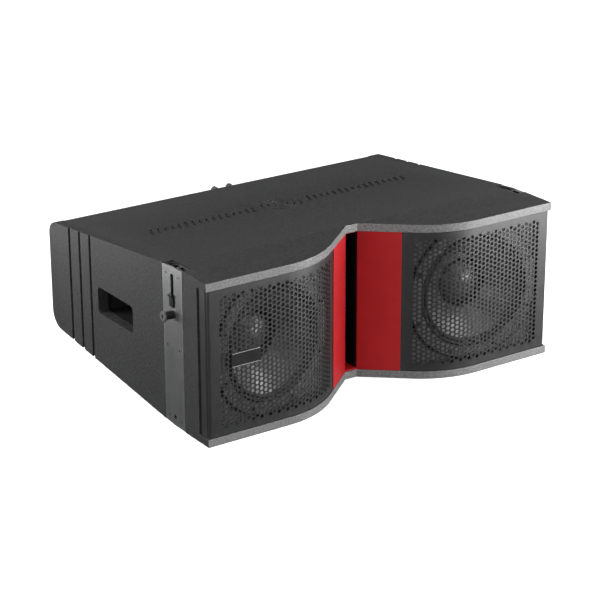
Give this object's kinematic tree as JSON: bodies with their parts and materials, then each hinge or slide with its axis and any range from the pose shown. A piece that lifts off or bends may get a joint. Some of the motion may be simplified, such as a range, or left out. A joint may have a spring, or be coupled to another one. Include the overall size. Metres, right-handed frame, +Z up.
{
  "type": "line array speaker",
  "caption": "Waisted two-way line array speaker module with twin woofers behind curved perforated grilles, a red central horn slot, side handles and hanging hardware.",
  "frame": {"origin": "on the floor plane, below the middle of the cabinet's overall box", "axes": "+X across the width, -Y is the front, +Z up"},
  "size_m": [0.7912, 0.558, 0.3],
  "materials": {
    "cabinet_paint": "textured polyurea paint on plywood, fine stipple, satin",
    "plywood": "bare birch plywood",
    "moulded_black": "fine textured black moulding",
    "grille_paint": "satin dark grey powder coat on perforated steel",
    "badge": "blank gloss black plate with a light border",
    "red_paint": "satin red paint on a moulded flare",
    "cast_black": "satin black coated casting",
    "black_metal": "satin black coating",
    "surround_foam": "treated cloth roll",
    "cone_paper": "pressed fibre, dark grey",
    "spider_cloth": "impregnated cloth",
    "coil_copper": "enamelled copper winding",
    "ferrite": "sintered ferrite",
    "plain_steel": "turned steel",
    "rig_steel": "satin blasted steel",
    "zinc": "zinc plated",
    "knob_black": "black, lightly textured",
    "circuit_board": "green board with components",
    "wire_cover": "insulated lead",
    "wadding": "open foam"
  },
  "bodies": {
    "cabinet": {"top_panel": "cabinet_paint", "bottom_panel": "cabinet_paint", "side_panel_left": "cabinet_paint", "side_panel_right": "cabinet_paint", "rear_panel": "cabinet_paint", "baffle_left": "cabinet_paint", "baffle_right": "cabinet_paint", "brace_left": "plywood", "brace_right": "plywood", "handle_cup_left": "moulded_black", "handle_cup_right": "moulded_black", "grille_left": "grille_paint", "grille_right": "grille_paint", "badge_plate": "badge", "horn_flare": "red_paint", "waveguide": "moulded_black", "compression_driver": "cast_black", "frame_left": "cast_black", "magnet_left": "ferrite", "motor_steel_left": "plain_steel", "frame_right": "cast_black", "magnet_right": "ferrite", "motor_steel_right": "plain_steel", "woofer_bolts": "black_metal", "rig_plate_left": "rig_steel", "link_guide_left": "zinc", "lock_bush_left": "plain_steel", "lock_spring_left": "plain_steel", "rig_plate_right": "rig_steel", "link_guide_right": "zinc", "lock_bush_right": "plain_steel", "lock_spring_right": "plain_steel", "countersunk_screws": "plain_steel", "rear_bracket": "rig_steel", "rear_pivot_pin": "plain_steel", "input_plate": "black_metal", "input_sockets": "moulded_black", "crossover": "circuit_board", "wiring": "wire_cover", "damping_foam": "wadding"},
    "link_left": {"link_bar_left": "black_metal", "link_tab_left": "knob_black"},
    "link_right": {"link_bar_right": "black_metal", "link_tab_right": "knob_black"},
    "lock_left": {"lock_knob_left": "knob_black", "lock_plunger_left": "plain_steel"},
    "lock_right": {"lock_knob_right": "knob_black", "lock_plunger_right": "plain_steel"},
    "cone_assembly_left": {"cone_left": "cone_paper", "dust_cap_left": "cone_paper", "voice_coil_left": "coil_copper", "surround_left": "surround_foam", "spider_left": "spider_cloth"},
    "cone_assembly_right": {"cone_right": "cone_paper", "dust_cap_right": "cone_paper", "voice_coil_right": "coil_copper", "surround_right": "surround_foam", "spider_right": "spider_cloth"},
    "rear_arm": {"rear_link": "zinc"},
    "quick_pin": {"rear_quick_pin": "plain_steel"}
  },
  "joints": [
    {"name": "link_slide_left", "type": "slide", "parent": "cabinet", "child": "link_left", "axis": [0, 0, 1], "range_m": [0, 0.038]},
    {"name": "lock_pull_left", "type": "slide", "parent": "cabinet", "child": "lock_left", "axis": [-1, 0, 0], "range_m": [0, 0.005], "stiffness_N_per_m": 1500, "springref_m": -0.004, "deforming": ["lock_spring_left"]},
    {"name": "cone_travel_left", "type": "slide", "parent": "cabinet", "child": "cone_assembly_left", "axis": [0.165, -0.9863, 0], "range_m": [-0.006, 0.006], "stiffness_N_per_m": 4000, "deforming": ["surround_left", "spider_left"]},
    {"name": "link_slide_right", "type": "slide", "parent": "cabinet", "child": "link_right", "axis": [0, 0, 1], "range_m": [0, 0.038]},
    {"name": "lock_pull_right", "type": "slide", "parent": "cabinet", "child": "lock_right", "axis": [1, 0, 0], "range_m": [0, 0.005], "stiffness_N_per_m": 1500, "springref_m": -0.004, "deforming": ["lock_spring_right"]},
    {"name": "cone_travel_right", "type": "slide", "parent": "cabinet", "child": "cone_assembly_right", "axis": [-0.165, -0.9863, 0], "range_m": [-0.006, 0.006], "stiffness_N_per_m": 4000, "deforming": ["surround_right", "spider_right"]},
    {"name": "rear_link_swing", "type": "hinge", "parent": "cabinet", "child": "rear_arm", "pos_m": [0, 0.2675, 0.232], "axis": [1, 0, 0], "range_deg": [0, 180]},
    {"name": "quick_pin_pull", "type": "slide", "parent": "cabinet", "child": "quick_pin", "axis": [1, 0, 0], "range_m": [0, 0.045]}
  ]
}
